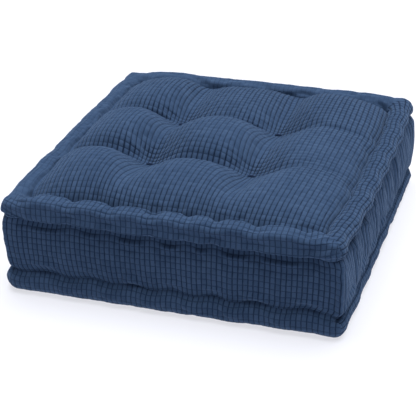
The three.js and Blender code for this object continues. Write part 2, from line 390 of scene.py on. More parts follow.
def puff_heights(x, y):
    """The top's nine puffs: rounded rows, creased against each other, with dimples at the tufts."""
    bounds = (-PANEL_HALF, *TUFT_Y, PANEL_HALF)
    past_left, past_right = (smooth((x - column + 40) / 80) for column in TUFT_X)
    valley = sum(np.exp(-(np.abs((x - column) / COLUMN_VALLEY[1]) ** 1.7)) for column in TUFT_X)
    creased = smooth((165 - x) / 90)  # the rows run together towards the right
    z = np.zeros_like(x)
    for number, (left, middle, right) in enumerate(CROWNS.values()):
        low, high = bounds[number], bounds[number + 1]
        t = 2 * (y - low) / (high - low) - 1
        t = np.clip(t, -1 if number else 0, 1 if number < 2 else 0)
        crown = left * (1 - past_left) + middle * (past_left - past_right) + right * past_right
        fading = (100, 25, 4)[number]  # where a column's valley ends, before the edge
        crown = crown - COLUMN_VALLEY[0] * valley * smooth((PANEL_HALF - 4 - np.abs(y)) / fading)
        floor = np.minimum(ROW_FLOOR * creased + (crown - 3) * (1 - creased), crown)
        rounded = np.clip(1 - np.abs(t) ** 2.8, 0, 1) ** 0.72
        inside = (y >= low - 10) & (y <= high + 10) & (np.abs(t) <= 1)
        z = np.where(inside & ((y >= low) | (number == 0)), floor + (crown - floor) * rounded, z)
    return z


def tuft_dimples(x, y, reach):
    away = [((x - p[0]) / reach[0]) ** 2 + ((y - p[1]) / reach[1]) ** 2 for p in TUFT_PLAN]
    return np.exp(-(np.min(away, axis=0) ** 0.8))


def start_top(loop):
    grid = stretched(loop)
    x, y = grid[..., 0], grid[..., 1]
    pull = tuft_dimples(x, y, DIMPLE)
    z = puff_heights(x, y) * (1 - pull) + (TOP_TIE - 1) * pull
    front_or_back = np.where(y < 0, edge_fall(y, 4.8, 0.95), edge_fall(y, 7.5))
    unbowed = x * PANEL_HALF / (PANEL_HALF + LEAN + BOW["right"])
    left_or_right = np.where(x < 0, edge_fall(x, 4.4), edge_fall(unbowed, 3.6))
    grid[..., 2] += (z - grid[..., 2]) * left_or_right * front_or_back
    return grid


def start_bottom(loop):
    grid = stretched(loop)
    x, y = grid[..., 0], grid[..., 1]
    pull = tuft_dimples(x, y, BOTTOM_DIMPLE)
    z = 0.2 + (BOTTOM_TIE + 3) * pull
    grid[..., 2] += (z - grid[..., 2]) * edge_fall(x, 16) * edge_fall(y, 16)
    return grid


# ---- The cloth simulation ----


def links(points, cut, bending):
    """Pairs of points with the distance that the cloth keeps between them, in sets that share no
    point. cut holds each point's place on the flat cloth; bending is the stiffness of the long pairs,
    which only push: two and four cells long, along the columns and then along the rows."""
    sets = []
    rows, columns = points.shape
    row_number, column_number = np.mgrid[0:rows, 0:columns]
    stretches = [(0, 1, 1.0), (1, 0, 1.0), (1, 1, 0.3), (1, -1, 0.3)]
    bends = [(0, 2, bending[0]), (2, 0, bending[1]), (0, 4, bending[2]), (4, 0, bending[3])]
    for dr, dc, stiffness in stretches + [b for b in bends if b[2]]:
        a = (slice(0, rows - dr), slice(max(0, -dc), columns - max(0, dc)))
        b = (slice(dr, rows), slice(max(0, dc), columns - max(0, -dc)))
        length = np.linalg.norm(cut[b] - cut[a], axis=-1)
        step = max(dr, abs(dc))
        number = (column_number if dc else row_number)[a] // step
        for parity in (0, 1):
            chosen = number % 2 == parity
            sets.append((points[a][chosen], points[b][chosen], length[chosen], stiffness, step > 1))
    return sets


def grid_normals(grid):
    """Area-weighted normals of a grid's points."""
    facets = np.cross(grid[1:, 1:] - grid[:-1, :-1], grid[:-1, 1:] - grid[1:, :-1]) / 2
    total = np.zeros(grid.shape)
    for rows in (slice(None, -1), slice(1, None)):
        for columns in (slice(None, -1), slice(1, None)):
            total[rows, columns] += facets
    return total


def unit(vectors):
    return vectors / np.maximum(np.linalg.norm(vectors, axis=-1, keepdims=True), 1e-9)


def relax(places, patches, sets, pinned, pressure, reach, steps=50, passes=10):
    """Blows the cover up and lets its cloth settle."""
    start = places.copy()
    free = np.where(pinned, 0.0, 1.0)
    speed = np.zeros_like(places)
    for _ in range(steps):
        normals = np.zeros_like(places)
        for patch in patches:
            normals[patch] += grid_normals(places[patch])
        speed = (speed + unit(normals) * pressure[:, None]) * 0.9 * free[:, None]
        moved = places + speed
        for _ in range(passes):
            for a, b, length, stiffness, only_pushes in sets:
                apart = moved[b] - moved[a]
                distance = np.sqrt((apart * apart).sum(axis=1))
                excess = (distance - length) / np.maximum(distance, 1e-6)
                if only_pushes:
                    excess = np.minimum(excess, 0)
                shift = (stiffness * excess / np.maximum(free[a] + free[b], 1))[:, None] * apart
                moved[a] += free[a][:, None] * shift
                moved[b] -= free[b][:, None] * shift
            moved[:, 2] = np.maximum(moved[:, 2], 0)
        away = moved - start
        distance = np.linalg.norm(away, axis=1, keepdims=True)
        moved = start + away * np.minimum(1, reach[:, None] / np.maximum(distance, 1e-6))
        speed = moved - places
        places = moved
    return places


def run(points):
    """Distance along a line of points from its first one."""
    return np.concatenate([[0], np.cumsum(np.linalg.norm(np.diff(points, axis=0), axis=1))])


def unrolled(index, ring, paths):
    """How far along one side each of its points is, and how far down the cloth each row is."""
    first = paths[:, index * CELLS : index * CELLS + CELLS]
    return np.hstack([first, -first[:, :1]]), run(ring[:, index * CELLS + CELLS // 2])


def cut_of_side(index, ring, paths):
    """Each point's place on the flat cloth of one side, its spare length included."""
    along, down = unrolled(index, ring, paths)
    gather = GATHER[SIDES[index]]
    spare = np.full(RING_ROWS + 1, gather[1])
    spare[:SEAM_ROW] = gather[0]
    spare[LOWER_SEAM_ROW + 1 :] = gather[2]
    return np.stack([along * (1 + spare)[:, None], np.repeat(down[:, None], CELLS + 1, 1)], axis=-1)


PRESSURES = {"ring": 0.25, "bottom": 0.05, "top": 0.06}  # push on a point at each step
TIE = (8.5, 4.0)  # half the width and depth of the cloth that a tuft holds down
JITTER = 0.25  # unevenness of the cloth before it is blown up


def simulate_cover():
    """Places of the cover's points, and where its ring started and how far along each point is."""
    ring, paths = start_ring()
    places = np.zeros((POINT_COUNT, 3))
    places[TOP] = start_top(ring[0])
    places[BOTTOM] = start_bottom(ring[-1])
    places[RING_POINTS] = ring

    sets = []
    for panel in (TOP, BOTTOM):
        sets += links(panel, places[panel] * (1 + PANEL_SPARE), (0.4, 0.4, 0.1, 0.1))
    patches = [TOP, BOTTOM.T]
    for index in range(4):
        patch = RING_POINTS[:, side_columns(index)]
        sets += links(patch, cut_of_side(index, ring, paths), (0.5, 0.1, 0.3, 0.0))
        patches.append(patch[::-1])

    pinned = np.zeros(POINT_COUNT, bool)
    pinned[RING_POINTS[[0, SEAM_ROW, LOWER_SEAM_ROW, RING_ROWS]]] = True
    for panel in (TOP, BOTTOM):
        for tuft in TUFT_PLAN:
            away = np.abs(places[panel][..., :2] - tuft)
            pinned[panel[(away < TIE).all(axis=-1)]] = True

    pressure = np.full(POINT_COUNT, PRESSURES["ring"])
    pressure[BOTTOM] = PRESSURES["bottom"]
    pressure[TOP] = PRESSURES["top"]
    reach = np.full(POINT_COUNT, PANEL_REACH)
    for index, side in enumerate(SIDES):
        columns = side_columns(index, 0)
        for (first, last), limit in zip(PART_ROWS.values(), REACH[side]):
            reach[RING_POINTS[first + 1 : last, columns]] = limit

    jitter = np.random.default_rng(3).normal(0, JITTER, places.shape)
    places += jitter * ~pinned[:, None]
    return relax(places, patches, sets, pinned, pressure, reach), ring, paths


# ---- From the simulated grids to fine ones ----

FINE = 4  # fine cells to one simulated cell
CELL_U = 7.65  # spacing of the weave's deep lines, which run front to back
CELL_V = 9.2  # spacing of its shallow lines, which run left to right
PAD_HEIGHT = 0.95  # of the weave's raised squares
HEM = 5.0  # cloth turned in along a seam
FLOOR_GAP = 0.05  # least height of the cloth

# Strengths of the deep and the shallow lines. Where the cloth bunches up they rise towards 1.
PANEL_LINES = (0.68, 0.25)
FAR_LINES = (0.95, 0.55)  # at their right and back
SHADED_WALL_LINES = (1.0, 0.55)  # painted shade: stronger, darker lines on the puffs' walls that face forward, away from the light
TUFT_SHADE_LINES = (1.5, 1.4)  # painted shade: darker still on such walls beside the tufts
RING_LINES = {
    "top_roll": by_side((0.72, 0.62), (0.95, 0.9), (0.3, 0.2), (0.35, 0.35)),
    "boxing": by_side((0.9, 0.7), (0.8, 0.2), (0.85, 0.6), (0.85, 0.6)),
    # Bottom rolls: strong lines show their weave and also paint shade onto the rolls.
    "bottom_roll": by_side((0.8, 0.65), (0.8, 0.7), (0.6, 0.5), (0.6, 0.5)),
}
TUFT_SHADE_REACH = (42.0, 44.0)  # of the painted shade on the walls beside a tuft
TUFT_GATHER = 0.42  # spare cloth that a tuft draws in, as a share of the distance from it
GATHER_REACH = 34.0
BOXING_COLUMNS = round(half_path(OUTSIDE, CORNER_RADIUS) / CELL_U)  # from its middle to a mitre


def spline(count, parts, cyclic=False):
    """The matrix that takes values at even steps to values at finer steps, on a cubic spline."""
    slopes, bends = np.eye(count), np.zeros((count, count))
    for i in range(count) if cyclic else range(1, count - 1):
        for offset, slope, bend in ((-1, 1, 6), (0, 4, -12), (1, 1, 6)):
            slopes[i, (i + offset) % count] = slope
            bends[i, (i + offset) % count] = bend
    curvature = np.linalg.solve(slopes, bends)
    t = np.arange(parts * count if cyclic else parts * (count - 1) + 1) / parts
    first = np.minimum(t.astype(int), count - 1 if cyclic else count - 2)
    after = (first + 1) % count
    f = (t - first)[:, None]
    straight = (1 - f) * np.eye(count)[first] + f * np.eye(count)[after]
    bent = ((1 - f) ** 3 - (1 - f)) / 6 * curvature[first] + (f**3 - f) / 6 * curvature[after]
    return straight + bent


def straight_steps(values, parts):
    """The same finer steps on straight lines, along the last axis."""
    t = np.arange(parts * (values.shape[-1] - 1) + 1) / parts
    first = np.minimum(t.astype(int), values.shape[-1] - 2)
    f = t - first
    return values[..., first] * (1 - f) + values[..., first + 1] * f


def finer(grid, cyclic=False, parts=FINE):
    rows = spline(grid.shape[0], parts)
    columns = spline(grid.shape[1], parts, cyclic)
    return np.einsum("ar,bc,rck->abk", rows, columns, grid, optimize=True)


def closed(ring):
    """A ring with its first column repeated after its last."""
    return np.concatenate([ring, ring[:, :1]], axis=1)


def ring_normals(ring):
    normals = grid_normals(closed(ring))
    normals[:, 0] += normals[:, -1]
    return unit(normals[:, :-1])


def ripple(a, b, length, seed):
    """Smooth unevenness between about -1 and 1 over two coordinates in millimetres."""
    rng = np.random.default_rng(seed)
    total = np.zeros(np.broadcast(a, b).shape)
    for _ in range(6):
        turn, phase = rng.uniform(0, 2 * np.pi, 2)
        wave_length = length * rng.uniform(0.7, 1.5)
        total += np.sin(2 * np.pi * (a * np.cos(turn) + b * np.sin(turn)) / wave_length + phase)
    return total / 3


def uneven(weave, wander, seed):
    """Weave coordinates whose lines wander a little, by a share of their spacing."""
    u, v = weave[..., 0], weave[..., 1]
    a, b = u * CELL_U, v * CELL_V
    u = u + wander * (ripple(a, b, 120, seed) + 0.1 * ripple(a, b, 30, seed + 1))
    v = v + wander * (ripple(a, b, 120, seed + 2) + 0.1 * ripple(a, b, 30, seed + 3))
    return np.stack([u, v], axis=-1)


def pads(weave, lines):
    """Height of the cloth's raised squares over its lines, from 0 to 1."""
    u = (1 - np.cos(2 * np.pi * weave[..., 0])) / 2
    v = (1 - np.cos(2 * np.pi * weave[..., 1])) / 2
    return 1 - lines[..., 0] * (1 - u) * 0.6 - lines[..., 1] * (1 - v) * 0.5


def slackness(grid, weave, axis):
    """How much the cloth is gathered along a weave axis: 0 when taut, 1 when bunched up."""
    length = np.zeros(grid.shape[:2])
    for direction in (0, 1):
        step = np.gradient(grid, axis=direction)
        turns = np.gradient(weave[..., axis], axis=direction)
        length += np.linalg.norm(step, axis=-1) * np.abs(turns)
    cells = sum(np.gradient(weave[..., axis], axis=d) ** 2 for d in (0, 1))
    stretch = length / np.maximum(cells, 1e-9) / (CELL_U, CELL_V)[axis]
    return np.clip((1.05 - stretch) / 0.3, 0, 0.7)


# ---- Meshes ----


def new_object(name, data):
    piece = bpy.data.objects.new(name, data)
    bpy.context.collection.objects.link(piece)
    return piece


def grid_faces(numbers):
    """The quads between a grid's points."""
    before, after = numbers[:-1], numbers[1:]
    quads = [before[:, :-1], after[:, :-1], after[:, 1:], before[:, 1:]]
    return np.stack(quads, axis=-1).reshape(-1, 4)


def cloth_object(name, grid, weave, lines, normals):
    """A piece of the cover. Its faces look the way that its normals do."""
    rows, columns = grid.shape[:2]
    faces = grid_faces(np.arange(rows * columns).reshape(rows, columns))
    middle = grid_normals(grid)[rows // 2, columns // 2]
    if np.dot(middle, normals[rows // 2, columns // 2]) < 0:
        faces = faces[:, ::-1]
    mesh = bpy.data.meshes.new(name)
    grid = np.maximum(grid, (-np.inf, -np.inf, FLOOR_GAP))
    mesh.from_pydata((grid.reshape(-1, 3) * MM).tolist(), [], faces.tolist())
    corners = faces.reshape(-1)
    layer = mesh.uv_layers.new(name="weave")
    layer.data.foreach_set("uv", weave.reshape(-1, 2)[corners].astype(np.float32).ravel())
    strength = mesh.attributes.new("lines", "FLOAT_VECTOR", "POINT")
    depth = np.concatenate([lines, np.zeros((rows, columns, 1))], axis=-1)
    strength.data.foreach_set("vector", depth.astype(np.float32).ravel())
    mesh.polygons.foreach_set("use_smooth", np.ones(len(faces), bool))
    mesh.normals_split_custom_set_from_vertices(unit(normals).reshape(-1, 3).tolist())
    mesh.update()
    return new_object(name, mesh)


def hemmed(layers, rows, columns):
    """Turns the cloth in along its first and last rows, or columns, or both."""
    around = ((rows, rows), (columns, columns), (0, 0))
    depth = np.pad(np.zeros(layers[0].shape[:2]), around[:2], constant_values=HEM)
    grid, weave, lines, normals = (np.pad(layer, around, mode="edge") for layer in layers)
    return grid - normals * depth[..., None], weave, lines, normals


# ---- The pieces of the cover ----


def line_strengths(grid, weave, least):
    """How strongly each set of weave lines shows: least where taut, fully where bunched up."""
    slack = [slackness(grid, weave, axis) for axis in (0, 1)]
    return np.stack([low + (1 - low) * s for low, s in zip(least, slack)], axis=-1)


def run_lengths(grid, axis):
    """Distance along the cloth from its middle line, averaged over the other direction."""
    steps = np.linalg.norm(np.diff(grid, axis=axis), axis=-1).mean(axis=1 - axis)
    lengths = np.concatenate([[0], np.cumsum(steps)])
    return lengths - lengths[len(lengths) // 2]


def panel_layers(places, panel, edge, parts, up, seed):
    """Fine points, weave coordinates, line strengths and normals of a face of the cushion. Its
    border is drawn to the edge, which is the ring's first or last line."""
    grid = finer(places[panel], parts=parts)
    weave = (run_lengths(grid, 0) / CELL_U, run_lengths(grid, 1) / CELL_V)
    weave = uneven(np.stack(np.meshgrid(*weave, indexing="ij"), axis=-1), 0.12, seed)
    for tuft in TUFT_PLAN:
        away = grid[..., :2] - tuft
        pull = np.exp(-((np.linalg.norm(away, axis=-1, keepdims=True) / GATHER_REACH) ** 2))
        weave = weave + TUFT_GATHER * pull * away / (CELL_U, CELL_V)
    facing = 1 if up else -1
    normals = unit(grid_normals(grid)) * facing
    lines = line_strengths(grid, weave, PANEL_LINES)
    far = smooth((0.4 * grid[..., :1] + grid[..., 1:2] - 20) / 170)
    away_from_light = -(0.45 * normals[..., :1] + 0.9 * normals[..., 1:2])  # and to the left: away from the light
    # Painted shade in the dimples: still stronger lines on the forward walls near each tuft.
    tuft_shade = tuft_dimples(grid[..., 0], grid[..., 1], TUFT_SHADE_REACH)[..., None]
    tuft_shade = tuft_shade * smooth(away_from_light / 0.3)
    lines = lines + (np.array(FAR_LINES) - lines) * far
    # Painted shade: the lines grow darker and wider on walls that face away from the light, most of
    # all in the tufts' dimples.
    lines = lines + (np.array(SHADED_WALL_LINES) - lines) * smooth(away_from_light / 0.6)
    lines = lines + (np.array(TUFT_SHADE_LINES) - lines) * tuft_shade
    grid = drawn_to(grid + normals * (pads(weave, lines)[..., None] - 1) * PAD_HEIGHT, edge)
    return hemmed((grid, weave, lines, unit(grid_normals(grid)) * facing), 1, 1)


def drawn_to(grid, edge):
    """Moves a grid's border onto a loop of points, and what is near the border partly so."""
    front, right, back, left = loop_sides(edge)
    near = np.clip(1 - np.arange(len(grid)) / 4, 0, 1)
    along, across = near[None, :, None], near[:, None, None]
    shares = (along, across[::-1], along[:, ::-1], across)
    shifts = (
        (front - grid[:, 0])[:, None],
        (right - grid[-1])[None],
        (back - grid[:, -1])[:, None],
        (left - grid[0])[None],
    )
    total = sum(share * shift for share, shift in zip(shares, shifts))
    return grid + total / np.maximum(1, sum(shares))


def ring_weave(index, ring, paths, part):
    """Weave coordinates of one side's part of the ring."""
    first, last = PART_ROWS[part]
    along, down = unrolled(index, ring, paths)
    along = straight_steps(straight_steps(along[first : last + 1], FINE).T, FINE).T
    down = straight_steps(down[first : last + 1], FINE)[:, None] + np.zeros_like(along)
    if part == "boxing":
        mitre = along[:, -1:]
        return np.stack([along / mitre * BOXING_COLUMNS, (down - down[0]) / CELL_V], axis=-1)
    along = along * PANEL_HALF / GROOVE_PATH
    across = PANEL_HALF + (down[-1] - down if part == "bottom_roll" else down - down[0])
    if SIDES[index] in ("front", "back"):
        return np.stack([along / CELL_U, across / CELL_V], axis=-1)
    return np.stack([across / CELL_U, along / CELL_V], axis=-1)


def ring_part(places, ring, paths, part, seed):
    """Fine points of a part of the ring, and its sides' weave and line strengths."""
    first, last = PART_ROWS[part]
    grid = finer(places[RING_POINTS[first : last + 1]], cyclic=True)
    wander, flattened = (0.07, 0.65) if part == "boxing" else (0.12, 0.45)
    weaves, lines = [], []
    for index, side in enumerate(SIDES):
        weaves.append(uneven(ring_weave(index, ring, paths, part), wander, seed + 10 * index))
        patch = closed(grid)[:, fine_columns(index)]
        lines.append(line_strengths(patch, weaves[-1], RING_LINES[part][side]))
    height = np.concatenate([pads(w, s)[:, :-1] for w, s in zip(weaves, lines)], axis=1)
    outward = ring_normals(grid)
    grid = grid + outward * (height[..., None] - 1) * PAD_HEIGHT * flattened
    if part == "boxing":
        grid = grid + outward * upright_folds(grid)[..., None]
    return grid, weaves, lines


def fine_columns(index):
    """A side's columns in the fine ring, from mitre to mitre."""
    return slice(index * CELLS * FINE, (index + 1) * CELLS * FINE + 1)


def upright_folds(grid):
    """How far the boxing stands out in its gathers: uneven ridges that run from seam to seam."""
    share = np.linspace(0, 1, len(grid))[:, None]
    along = np.linspace(-1, 1, CELLS * FINE, endpoint=False)[None] * GROOVE_PATH
    fade = np.sin(np.pi * share) ** 0.6 * (1 - 0.45 * share)
    height = []
    for index, side in enumerate(SIDES):
        drift = 7 * wave(along, 150, index) + 4 * wave(along + 30 * share, 63, 2 * index)
        ridges = wave(along + drift + 5 * share, FOLD_PITCH, index)
        ridges = ridges + 0.25 * wave(along - drift, 0.62 * FOLD_PITCH, 3 * index) * (1 - share)
        strength = 0.65 + 0.35 * wave(along, 230, 4 + index)
        height.append(FOLDS[side] / 2 * ridges * strength * fade * (1 - near_corner(along, 22)))
    return np.hstack(height)


def join(upper, lower):
    """Brings two parts of the ring together along the seam between them."""
    seam = (upper[-1] + lower[0]) / 2
    above, below = seam - upper[-1], seam - lower[0]
    for step in range(4):
        upper[-1 - step] += above * (1 - step / 4)
        lower[step] += below * (1 - step / 4)


def sides_of(part):
    grid, weaves, lines = part
    normals, grid = closed(ring_normals(grid)), closed(grid)
    for index in range(4):
        columns = fine_columns(index)
        yield hemmed((grid[:, columns], weaves[index], lines[index], normals[:, columns]), 1, 0)


PIECE_NAMES = {
    "top_roll": "rolled_edge_top",
    "boxing": "boxing_strip",
    "bottom_roll": "rolled_edge_bottom",
}


def make_cover(places, ring, paths):
    """The cover's pieces, by the names of the nodes that they replace."""
    parts = [ring_part(places, ring, paths, *part) for part in zip(PART_ROWS, (11, 12, 13))]
    upper, middle, lower = (grid for grid, _, _ in parts)
    join(upper, middle)
    join(middle, lower)
    top = panel_layers(places, TOP, upper[0], FINE, True, 1)
    bottom = panel_layers(places, BOTTOM, lower[-1, :: FINE // 2], 2, False, 5)
    pieces = {
        "top_panel": cloth_object("cover_top", *top),
        "bottom_panel": cloth_object("cover_bottom", *bottom),
    }
    for (node, name), part in zip(PIECE_NAMES.items(), parts):
        for side, layers in zip(SIDES, sides_of(part)):
            pieces[f"{node}_{side}"] = cloth_object(f"{name}_{side}", *layers)
    return pieces


# ---- What is inside ----


def plain_object(name, points, faces):
    mesh = bpy.data.meshes.new(name)
    mesh.from_pydata((np.asarray(points) * MM).tolist(), [], [list(f) for f in faces])
    mesh.polygons.foreach_set("use_smooth", np.ones(len(mesh.polygons), bool))
    mesh.update()
    return new_object(name, mesh)


FILLING_GAP = 3.5  # between the filling and the cover
FILLING_TUCK = 12.0  # of the filling behind a roll
WADDING_SHARE = 0.76  # of the roll's section that its wadding takes


def make_filling(places):
    """One block of fibre, a little inside the cover, and without the rolls."""
    inside = places.copy()
    normals = np.zeros_like(places)
    for patch in (TOP, BOTTOM.T):
        normals[patch] += grid_normals(places[patch])
    normals[RING_POINTS] += ring_normals(places[RING_POINTS])
    for part in ("top_roll", "bottom_roll"):
        first, last = PART_ROWS[part]
        share = np.linspace(0, 1, ROLL_ROWS + 1)[:, None, None]
        ends = places[RING_POINTS[[first, last]]]
        chord = ends[0] * (1 - share) + ends[1] * share
        outward = unit(chord * (1, 1, 0))
        tuck = FILLING_TUCK * np.sin(np.pi * share)
        inside[RING_POINTS[first : last + 1]] = chord - outward * tuck
        normals[RING_POINTS[first : last + 1]] = outward
    inside -= unit(normals) * FILLING_GAP
    faces = np.vstack([grid_faces(patch) for patch in (TOP, BOTTOM.T, closed(RING_POINTS))])
    return plain_object("filling", inside, faces.tolist())


def make_wadding(name, places, rows, index):
    """The stuffing of one roll: the roll's own section, drawn in a little and closed."""
    roll = places[RING_POINTS[rows[0] : rows[1] + 1]][:, side_columns(index)][:, 1:-1:2]
    centre = roll.mean(axis=0, keepdims=True)
    shrunk = centre + (roll - centre) * WADDING_SHARE
    numbers = np.arange(shrunk.shape[0] * shrunk.shape[1]).reshape(shrunk.shape[:2])
    faces = grid_faces(np.vstack([numbers, numbers[:1]])).tolist()
    ends = [numbers[:, 0].tolist()[::-1], numbers[:, -1].tolist()]
    return plain_object(name, shrunk.reshape(-1, 3), faces + ends)


TWINE_RADIUS = 0.75
TWINE_SIDES = 9
TWINE_PLIES = 3
TWINE_TWIST = 1.6  # radians for each millimetre
TIE_ARCH = 1.2  # height of a tie's middle over its ends
STRANDS = (-1.5, 0.1, 1.6)  # of a tuft, from front to back


def tube(path):
    """Points and faces of a twisted, three-lobed thread along a path."""
    away_from_light = unit(np.gradient(path, axis=0))
    side = unit(np.cross(away_from_light, (0.31, 0.87, 0.38)))
    up = np.cross(away_from_light, side)
    around = np.linspace(0, 2 * np.pi, TWINE_SIDES, endpoint=False)[None, :]
    angle = around + np.zeros((len(path), 1))
    lobes = np.cos(TWINE_PLIES * (angle - TWINE_TWIST * run(path)[:, None]))
    ring = side[:, None] * np.cos(angle)[..., None] + up[:, None] * np.sin(angle)[..., None]
    points = path[:, None] + ring * (TWINE_RADIUS * (1 + 0.18 * lobes))[..., None]
    numbers = np.arange(len(path) * TWINE_SIDES).reshape(-1, TWINE_SIDES)
    after = np.roll(numbers, -1, axis=1)
    faces = np.stack([numbers[:-1], after[:-1], after[1:], numbers[1:]], axis=-1).reshape(-1, 4)
    ends = [numbers[0].tolist()[::-1], numbers[-1].tolist()]
    return points.reshape(-1, 3), faces.tolist() + ends


def joined_tubes(name, paths):
    points, faces = [], []
    for tube_points, tube_faces in map(tube, paths):
        start = sum(len(p) for p in points)
        points.append(tube_points)
        faces += [[start + i for i in face] for face in tube_faces]
    return plain_object(name, np.vstack(points), faces)


def tuft_strand(x, y, span_x, top, bottom, shift):
    """One loop of twine: over the top dimple, down through the filling, and across underneath."""
    half = span_x / 2
    t = np.linspace(0, 1, 13)
    arch = TIE_ARCH * np.sin(np.pi * t)
    over = np.stack([x + half * (1 - 2 * t), y + shift + 0 * t, top + arch], axis=-1)
    under = over[::-1] * (1, 1, 0) + (0, 0, bottom)
    under[:, 2] -= arch
    depth = np.linspace(0, 1, 40)[1:-1]
    fall = top + (bottom - top) * depth
    left = np.stack([0 * depth + x - half, 0 * depth + y + shift * (1 - depth), fall], axis=-1)
    right = left[::-1] * (-1, 1, 1) + (2 * x, 0, 0)
    return np.vstack([over, left, under, right])


def make_tuft(name, box):
    low, high = box
    x, y = (low + high)[:2] / 2
    width = (high - low)[0] - 3
    paths = []
    for number, shift in enumerate(STRANDS):
        odd = number % 2
        top = high[2] - 1 + 0.4 * odd
        paths.append(tuft_strand(x, y, width - odd, top, low[2] + 1.6, shift))
    return joined_tubes(name, paths)


# ---- Materials ----


class Nodes:
    """A node tree, with short ways to add to it."""

    def __init__(self, tree):
        self.tree = tree

    def add(self, kind, inputs=(), **settings):
        """A node with its settings, and its inputs from values or from other nodes' outputs."""
        node = self.tree.nodes.new(kind)
        for key, value in settings.items():
            setattr(node, key, value)
        for key, value in dict(inputs).items():
            if isinstance(value, bpy.types.NodeSocket):
                self.tree.links.new(value, node.inputs[key])
            else:
                node.inputs[key].default_value = value
        return node

    def math(self, operation, a, b=0.0, c=0.0, clamp=False):
        node = self.add("ShaderNodeMath", {0: a, 1: b, 2: c}, operation=operation, use_clamp=clamp)
        return node.outputs[0]

    def blend(self, factor, a, b):
        a, b = (c if isinstance(c, bpy.types.NodeSocket) else (*c, 1) for c in (a, b))
        settings = {"data_type": "RGBA", "clamp_factor": True}
        return self.add("ShaderNodeMix", {0: factor, 6: a, 7: b}, **settings).outputs[2]

    def step(self, value, low, high):
        """0 at low, 1 at high and smooth between them."""
        inputs = {"Value": value, "From Min": low, "From Max": high}
        node = self.add("ShaderNodeMapRange", inputs, interpolation_type="SMOOTHSTEP")
        return node.outputs["Result"]

    def noise(self, scale, detail, roughness, at=None):
        inputs = {"Scale": scale, "Detail": detail, "Roughness": roughness}
        inputs["Vector"] = at if at else self.add("ShaderNodeTexCoord").outputs["Object"]
        return self.add("ShaderNodeTexNoise", inputs).outputs["Fac"]


class Material(Nodes):
    def __init__(self, name, colour, roughness):
        self.material = bpy.data.materials.new(name)
        self.material.use_nodes = True
        self.material.diffuse_color = (*colour, 1)
        super().__init__(self.material.node_tree)
        self.shader = self.tree.nodes["Principled BSDF"]
        self.set(Roughness=roughness)

    def set(self, **constants):
        for key, value in constants.items():
            self.shader.inputs[key.replace("_", " ")].default_value = value

    def feed(self, **sockets):
        for key, value in sockets.items():
            self.tree.links.new(value, self.shader.inputs[key.replace("_", " ")])

    def bump(self, height, strength, distance):
        inputs = {"Height": height, "Strength": strength, "Distance": distance}
        self.feed(Normal=self.add("ShaderNodeBump", inputs).outputs["Normal"])


PAD_COLOURS = (0.0155, 0.035, 0.081), (0.0585, 0.102, 0.191)
GROOVE_COLOUR = (0.004, 0.011, 0.032)
LINE_WIDTHS = (0.22, 0.18)  # of a deep and a shallow line at full strength, in cells


def cover_cloth():
    """Dark blue cotton with a waffle weave: raised squares between sunken lines."""
    n = Material("blue_waffle_cotton", (0.06, 0.1, 0.2), 0.92)
    weave = n.add("ShaderNodeUVMap", uv_map="weave").outputs["UV"]
    place = n.add("ShaderNodeTexCoord").outputs["Object"]
    # The lines' strengths also carry painted shade: on walls that face away from the light, and on
    # the bottom rolls.
    strength = n.add("ShaderNodeAttribute", attribute_name="lines").outputs["Vector"]
    split = n.add("ShaderNodeSeparateXYZ", {"Vector": weave}).outputs
    power = n.add("ShaderNodeSeparateXYZ", {"Vector": strength}).outputs

    fray = n.math("MULTIPLY_ADD", n.noise(900, 2, 0.6, place), 0.08, -0.04)
    lines, cells, domes = [], [], []
    for axis, width in enumerate(LINE_WIDTHS):
        away = n.math("PINGPONG", n.math("ADD", split[axis], fray), 0.5)
        reach = n.math("MULTIPLY_ADD", power[axis], width, 0.04)
        line = n.math("POWER", n.math("SUBTRACT", 1.0, n.step(away, 0.0, reach)), 1.4)
        lines.append(n.math("MULTIPLY", line, power[axis]))
        flank = n.math("MULTIPLY_ADD", away, -2.0, 1.0)
        domes.append(n.math("MULTIPLY", n.math("MULTIPLY", flank, flank), power[axis]))
        cells.append(n.math("FLOOR", split[axis]))
    groove = n.math("MAXIMUM", lines[0], n.math("MULTIPLY", lines[1], 0.75))

    cell = n.add("ShaderNodeCombineXYZ", {"X": cells[0], "Y": cells[1]}).outputs["Vector"]
    chance = n.add("ShaderNodeTexWhiteNoise", {"Vector": cell}).outputs["Value"]
    thread_scale = n.add("ShaderNodeVectorMath", {0: weave, 1: (11, 9, 1)}, operation="MULTIPLY")
    threads = n.noise(1.0, 2, 0.7, thread_scale.outputs["Vector"])
    patches = n.noise(14, 3, 0.6, place)
    fuzz = n.noise(1600, 2, 0.7, place)

    light = n.math("MULTIPLY", chance, 0.22)
    light = n.math("ADD", light, n.math("MULTIPLY", patches, 0.35))
    light = n.math("ADD", light, n.math("MULTIPLY_ADD", threads, 0.7, -0.17), clamp=True)
    n.feed(Base_Color=n.blend(groove, n.blend(light, *PAD_COLOURS), GROOVE_COLOUR))
    n.feed(Roughness=n.math("MULTIPLY_ADD", fuzz, 0.1, 0.86))
    height = n.math("MULTIPLY_ADD", threads, 0.22, n.math("MULTIPLY", fuzz, 0.1))
    height = n.math("SUBTRACT", height, n.math("MULTIPLY", groove, 0.5))
    dome = n.math("MULTIPLY_ADD", domes[0], 0.5, n.math("MULTIPLY", domes[1], 0.35))
    n.bump(n.math("SUBTRACT", height, dome), 0.9, 0.0013)
    n.set(Sheen_Weight=0.2, Sheen_Roughness=0.5, Sheen_Tint=(0.4, 0.58, 0.9, 1))
    n.set(Specular_IOR_Level=0.06)
    return n.material


def fibre(name, dark, light):
    """Matted white fibre."""
    n = Material(name, light, 0.95)
    strands = n.noise(420, 5, 0.7)
    clumps = n.noise(45, 3, 0.6)
    mix = n.math("MULTIPLY", strands, clumps)
    n.feed(Base_Color=n.blend(n.step(mix, 0.1, 0.4), dark, light))
    n.feed(Roughness=n.math("MULTIPLY_ADD", strands, 0.1, 0.88))
    n.bump(strands, 0.6, 0.002)
    return n.material


